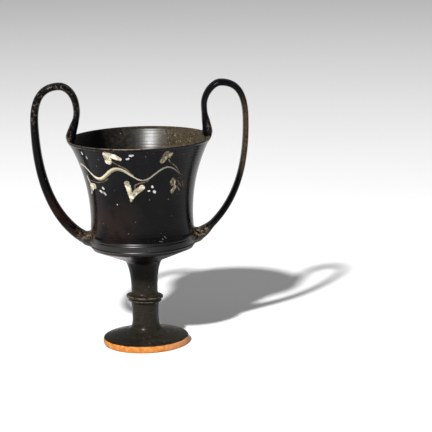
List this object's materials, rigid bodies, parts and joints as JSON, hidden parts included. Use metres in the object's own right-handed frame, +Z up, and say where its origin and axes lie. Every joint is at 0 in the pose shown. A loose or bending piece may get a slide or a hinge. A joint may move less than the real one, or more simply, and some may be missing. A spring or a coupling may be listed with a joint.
{
  "type": "stemmed drinking cup",
  "caption": "Stemmed clay drinking cup in black gloss, with a flared bowl, ringed stem, disc foot and high looped strap handles.",
  "frame": {"origin": "on the cup's axis, in the plane of the foot's resting ring", "axes": "+Z up along the cup's axis, X through the middles of the handles, -Y the painted side the picture shows"},
  "size_m": [0.1966, 0.131, 0.2435],
  "materials": {
    "black_gloss": "worn black gloss slip, bare orange clay round the edge of the foot"
  },
  "bodies": {
    "root": {"kantharos": "black_gloss"}
  },
  "joints": []
}
